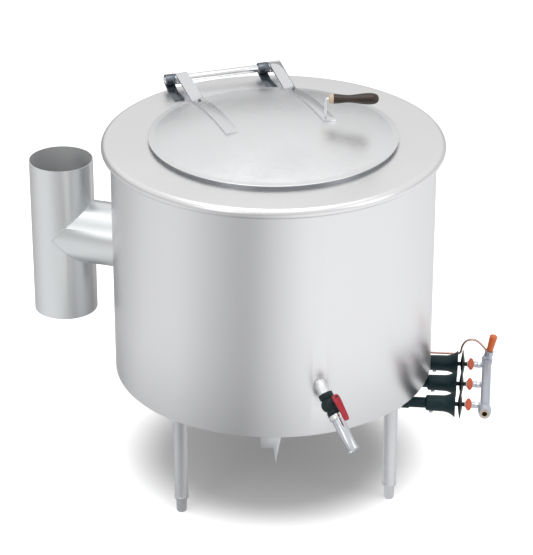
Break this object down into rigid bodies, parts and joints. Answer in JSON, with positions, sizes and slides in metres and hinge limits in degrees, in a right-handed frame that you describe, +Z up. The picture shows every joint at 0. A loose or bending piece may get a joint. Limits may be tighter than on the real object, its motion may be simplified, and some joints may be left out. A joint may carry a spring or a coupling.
{
  "type": "steam jacketed kettle",
  "caption": "Gas-fired steam jacketed kettle: round steel casing on legs, jacketed pan under a hinged lid, ball-valve drain, ring burner and flue tee.",
  "frame": {"origin": "on the floor under the axis of the round casing, at the level of the feet's soles", "axes": "+Z up along the kettle's axis, -Y to the front where the drain valve is, +X to the right where the gas train is"},
  "size_m": [1.2452, 1.0827, 1.1145],
  "materials": {
    "casing_steel": "vertical brushed stainless",
    "deck_steel": "satin stainless",
    "lid_steel": "satin stainless",
    "pan_steel": "polished inside",
    "jacket_steel": "mill finish",
    "liner_steel": "aluminised sheet",
    "lagging": "mineral wool",
    "flue_steel": "bright sheet",
    "leg_steel": "polished tube",
    "foot_steel": "satin",
    "burner_iron": "dark green burner enamel",
    "ring_iron": "bare casting",
    "frame_steel": "mill finish",
    "jet_steel": "dark",
    "tap_brass": "turned brass",
    "key_red": "orange-red lacquer",
    "pipe_steel": "silver painted pipe",
    "pilot_body": "dull brass",
    "pilot_grip": "orange knob",
    "copper": "copper tube",
    "drain_steel": "pipe",
    "valve_dark": "dark teal",
    "ball_chrome": "hard chrome",
    "lever_steel": "zinc plated",
    "sleeve_red": "red vinyl",
    "strap_steel": "bar",
    "hinge_dark": "dark bar",
    "rod_steel": "bright rod",
    "ferrule": "beige",
    "grip_wood": "dark stained"
  },
  "bodies": {
    "kettle": {"casing": "casing_steel", "deck_ring": "deck_steel", "inner_pan": "pan_steel", "steam_jacket": "jacket_steel", "heat_liner": "liner_steel", "insulation": "lagging", "flue_spigot": "flue_steel", "flue_tee": "flue_steel", "burner_frame": "frame_steel", "manifold_pipe": "pipe_steel", "inlet_union": "pipe_steel", "inlet_bush": "tap_brass", "pilot_valve": "pilot_body", "pilot_tube": "copper", "pilot_jet": "tap_brass", "drain_pipe": "drain_steel", "drain_valve": "valve_dark", "spout_nut": "lever_steel", "drain_spout": "drain_steel", "hinge_leaf_left": "hinge_dark", "hinge_leaf_right": "hinge_dark", "hinge_rod": "rod_steel", "burner_ring_near": "ring_iron", "mixer_near": "burner_iron", "jet_near": "jet_steel", "gas_tap_near": "tap_brass", "burner_ring_middle": "ring_iron", "mixer_middle": "burner_iron", "jet_middle": "jet_steel", "gas_tap_middle": "tap_brass", "burner_ring_far": "ring_iron", "mixer_far": "burner_iron", "jet_far": "jet_steel", "gas_tap_far": "tap_brass", "leg_front_right": "leg_steel", "leg_back_right": "leg_steel", "leg_back_left": "leg_steel", "leg_front_left": "leg_steel"},
    "lid": {"lid_dome": "lid_steel", "lid_strap_left": "strap_steel", "lid_strap_right": "strap_steel", "strap_rivets": "hinge_dark", "handle_rod": "rod_steel", "handle_ferrule": "ferrule", "handle_grip": "grip_wood"},
    "drain_handle": {"drain_ball": "ball_chrome", "drain_stem": "valve_dark", "drain_lever": "lever_steel", "lever_sleeve": "sleeve_red"},
    "pilot_knob": {"pilot_handle": "pilot_grip"},
    "key_near": {"tap_key_near": "key_red"},
    "shutter_near": {"air_shutter_near": "burner_iron"},
    "key_middle": {"tap_key_middle": "key_red"},
    "shutter_middle": {"air_shutter_middle": "burner_iron"},
    "key_far": {"tap_key_far": "key_red"},
    "shutter_far": {"air_shutter_far": "burner_iron"},
    "foot_body_front_right": {"foot_front_right": "foot_steel"},
    "foot_body_back_right": {"foot_back_right": "foot_steel"},
    "foot_body_back_left": {"foot_back_left": "foot_steel"},
    "foot_body_front_left": {"foot_front_left": "foot_steel"}
  },
  "joints": [
    {"name": "lid_hinge", "type": "hinge", "parent": "kettle", "child": "lid", "pos_m": [0, 0.435, 1.022], "axis": [-1, 0, 0], "range_deg": [0, 100]},
    {"name": "drain_lever_turn", "type": "hinge", "parent": "kettle", "child": "drain_handle", "pos_m": [-0.00919, -0.4971, 0.42085], "axis": [0.1956, -0.6399, 0.7431], "range_deg": [0, 90]},
    {"name": "tap_turn_near", "type": "hinge", "parent": "kettle", "child": "key_near", "pos_m": [0.46346, -0.34308, 0.254], "axis": [-0.3591, -0.788, 0.5], "range_deg": [0, 90]},
    {"name": "tap_turn_middle", "type": "hinge", "parent": "kettle", "child": "key_middle", "pos_m": [0.51322, -0.23389, 0.254], "axis": [-0.3591, -0.788, 0.5], "range_deg": [0, 90]},
    {"name": "tap_turn_far", "type": "hinge", "parent": "kettle", "child": "key_far", "pos_m": [0.56298, -0.12469, 0.254], "axis": [-0.3591, -0.788, 0.5], "range_deg": [0, 90]},
    {"name": "shutter_slide_near", "type": "slide", "parent": "kettle", "child": "shutter_near", "axis": [0.91, -0.4147, 0], "range_m": [-0.01, 0.001]},
    {"name": "shutter_slide_middle", "type": "slide", "parent": "kettle", "child": "shutter_middle", "axis": [0.91, -0.4147, 0], "range_m": [-0.01, 0.001]},
    {"name": "shutter_slide_far", "type": "slide", "parent": "kettle", "child": "shutter_far", "axis": [0.91, -0.4147, 0], "range_m": [-0.01, 0.001]},
    {"name": "pilot_turn", "type": "hinge", "parent": "kettle", "child": "pilot_knob", "pos_m": [0.61935, -0.11192, 0.254], "axis": [0.1892, -0.0862, 0.9781], "range_deg": [0, 90]},
    {"name": "foot_slide_front_right", "type": "slide", "parent": "kettle", "child": "foot_body_front_right", "axis": [0, 0, -1], "range_m": [0, 0.025]},
    {"name": "foot_slide_back_right", "type": "slide", "parent": "kettle", "child": "foot_body_back_right", "axis": [0, 0, -1], "range_m": [0, 0.025]},
    {"name": "foot_slide_back_left", "type": "slide", "parent": "kettle", "child": "foot_body_back_left", "axis": [0, 0, -1], "range_m": [0, 0.025]},
    {"name": "foot_slide_front_left", "type": "slide", "parent": "kettle", "child": "foot_body_front_left", "axis": [0, 0, -1], "range_m": [0, 0.025]}
  ]
}
